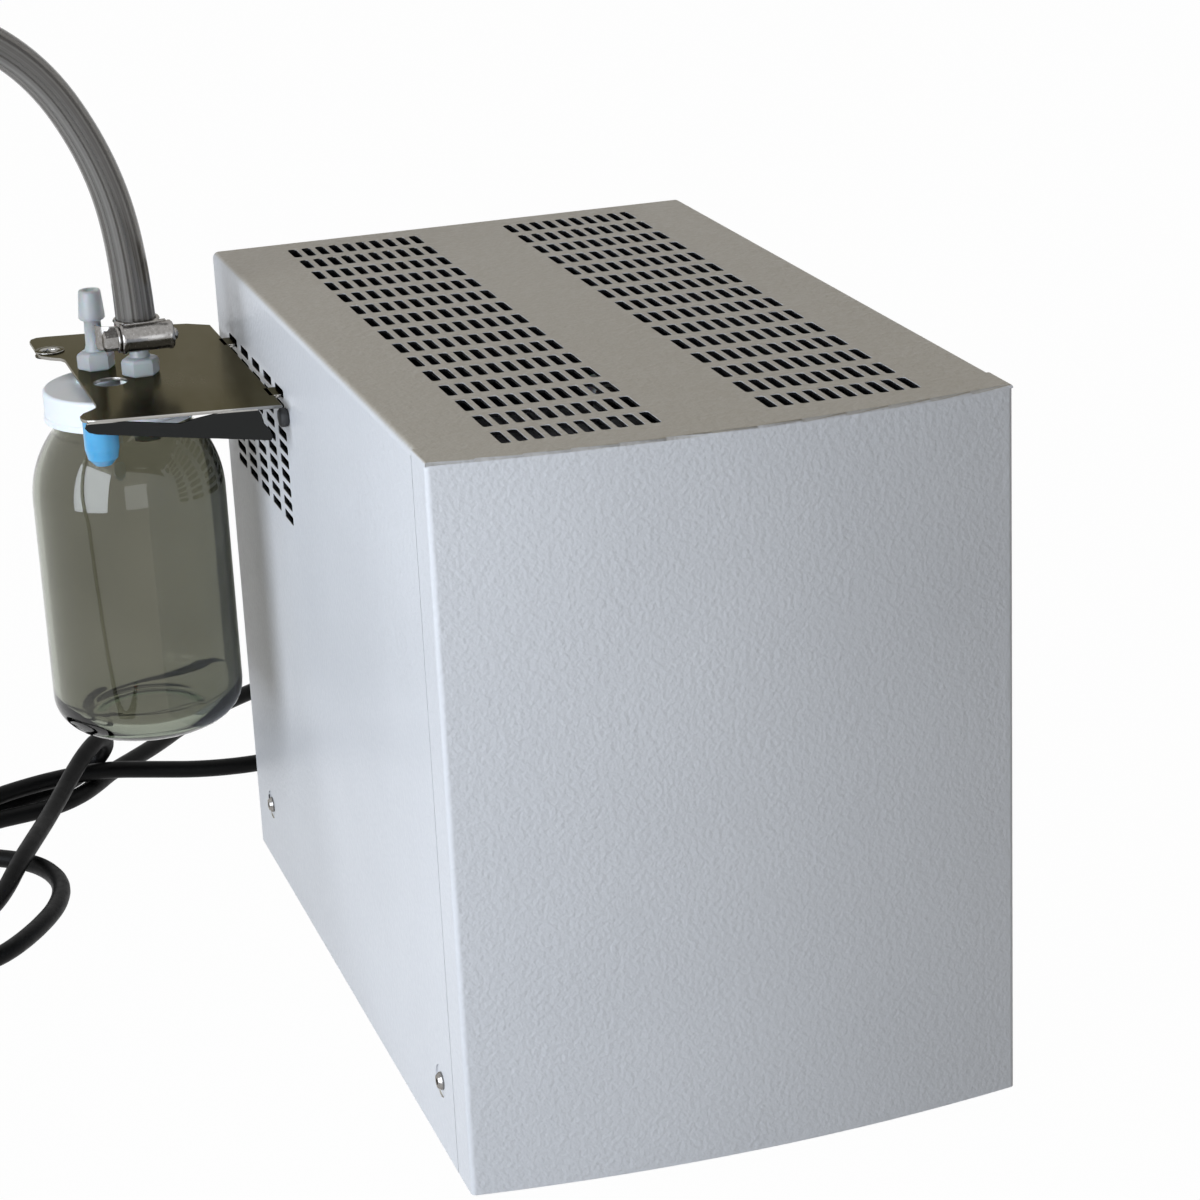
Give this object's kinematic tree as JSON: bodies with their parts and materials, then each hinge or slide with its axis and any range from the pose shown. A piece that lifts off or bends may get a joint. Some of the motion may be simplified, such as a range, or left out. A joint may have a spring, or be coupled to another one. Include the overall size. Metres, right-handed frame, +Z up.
{
  "type": "vacuum pump",
  "caption": "Boxed oil-free laboratory vacuum pump with a slotted sheet-metal housing, a side bracket holding a glass catch jar, a vacuum hose and a mains lead.",
  "frame": {"origin": "centre of the outline on the bench, cords left out", "axes": "+Z up, -Y the bowed front, +X the right-hand side seen from the front, the jar hangs on -X"},
  "size_m": [0.4896, 0.6403, 0.4565],
  "materials": {
    "powder_grey": "satin",
    "zinc_steel": "satin",
    "stainless": "polished",
    "bright_screw": "polished",
    "black_rubber": "matt",
    "white_plastic": "satin",
    "milky_plastic": "translucent satin",
    "blue_plastic": "gloss",
    "clear_glass": "clear",
    "hose_plastic": "clear, gloss",
    "black_plastic": "matt",
    "aluminium": "cast, matt",
    "motor_paint": "matt",
    "steel": "ground",
    "brass": "satin",
    "grey_plastic": "matt",
    "black_gloss": "gloss"
  },
  "bodies": {
    "housing": {"housing_cover": "powder_grey", "front_panel": "powder_grey", "rear_panel": "powder_grey", "base_chassis": "zinc_steel", "rubber_feet": "black_rubber", "foot_screws": "bright_screw", "cover_screws": "bright_screw", "jar_bracket": "stainless", "tongue_cap": "blue_plastic", "wall_pad": "black_rubber", "bracket_eyelet": "stainless", "jar_lid": "white_plastic", "lid_seal": "grey_plastic", "port_spacers": "white_plastic", "port_nuts": "milky_plastic", "lid_port_open": "milky_plastic", "lid_port_hose": "milky_plastic", "rear_port_inlet": "milky_plastic", "rear_port_exhaust": "milky_plastic", "clamp_band": "bright_screw", "clamp_housing": "bright_screw", "pump_deck": "zinc_steel", "vibration_mounts": "black_rubber", "motor_body": "motor_paint", "fan_shroud": "black_plastic", "crank_covers": "aluminium", "crankcase_front": "aluminium", "crankcase_rear": "aluminium", "membrane_front": "black_rubber", "membrane_rear": "black_rubber", "valve_head_front": "aluminium", "valve_head_rear": "aluminium", "head_cover_front": "aluminium", "head_cover_rear": "aluminium", "head_bolts": "bright_screw", "head_elbows": "black_plastic", "transfer_tube": "hose_plastic", "inlet_tube": "hose_plastic", "exhaust_tube": "hose_plastic", "run_capacitor": "grey_plastic", "capacitor_strap": "zinc_steel", "power_inlet": "black_plastic", "inlet_pins": "brass", "mains_connector": "black_plastic", "mains_lead": "black_plastic", "mains_plug": "black_plastic", "plug_pins": "brass", "vacuum_hose": "hose_plastic", "hose_coupling": "milky_plastic"},
    "shaft": {"motor_shaft": "steel", "cooling_fan": "black_plastic"},
    "rod_front": {"connecting_rod_front": "aluminium", "rod_bearing_front": "steel"},
    "rod_rear": {"connecting_rod_rear": "aluminium", "rod_bearing_rear": "steel"},
    "rocker": {"power_rocker": "black_gloss"},
    "jar": {"glass_jar": "clear_glass"},
    "clamp_worm": {"clamp_screw": "bright_screw"}
  },
  "joints": [
    {"name": "shaft_spin", "type": "hinge", "parent": "housing", "child": "shaft", "pos_m": [0.05325, 0, 0.128], "axis": [0, 1, 0], "continuous": true},
    {"name": "rod_front_turn", "type": "hinge", "parent": "shaft", "child": "rod_front", "pos_m": [0.05325, -0.11085, 0.131], "axis": [0, 1, 0], "continuous": true},
    {"name": "rod_rear_turn", "type": "hinge", "parent": "shaft", "child": "rod_rear", "pos_m": [0.05325, 0.08315, 0.131], "axis": [0, 1, 0], "continuous": true},
    {"name": "rocker_switch", "type": "hinge", "parent": "housing", "child": "rocker", "pos_m": [0.11525, 0.18215, 0.077], "axis": [-1, 0, 0], "range_deg": [0, 20]},
    {"name": "jar_lower", "type": "slide", "parent": "housing", "child": "jar", "axis": [0, 0, -1], "range_m": [0, 0.045]},
    {"name": "clamp_worm_turn", "type": "hinge", "parent": "housing", "child": "clamp_worm", "pos_m": [-0.12675, 0.09375, 0.2975], "axis": [-1, 0, 0], "continuous": true}
  ],
  "couplings": [
    {"joint": "rod_front_turn", "follows": "shaft_spin", "ratio": -1},
    {"joint": "rod_rear_turn", "follows": "shaft_spin", "ratio": -1}
  ]
}
